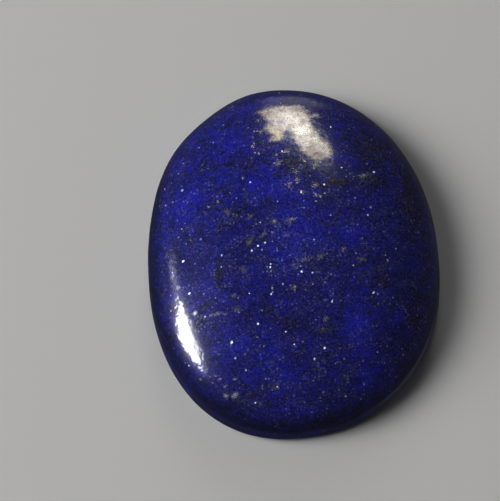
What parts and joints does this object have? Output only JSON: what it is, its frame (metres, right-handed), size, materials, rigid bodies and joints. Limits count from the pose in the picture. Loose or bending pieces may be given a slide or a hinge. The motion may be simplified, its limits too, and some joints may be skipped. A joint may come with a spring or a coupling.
{
  "type": "polished lapis lazuli cabochon",
  "caption": "Oval cabochon of polished lapis lazuli: low dome, narrow tapered girdle, ground bevel and a flat back that it rests on.",
  "frame": {"origin": "middle of the flat back, which is the face that the stone rests on", "axes": "+Z up out of the dome, +Y along the long way of the oval towards its slightly narrower end, +X to the right when the stone is seen from above with +Y up"},
  "size_m": [0.0198, 0.025, 0.006],
  "materials": {
    "lapis": "polished, with brassy pyrite grains"
  },
  "bodies": {
    "root": {"lapis_cabochon": "lapis"}
  },
  "joints": []
}
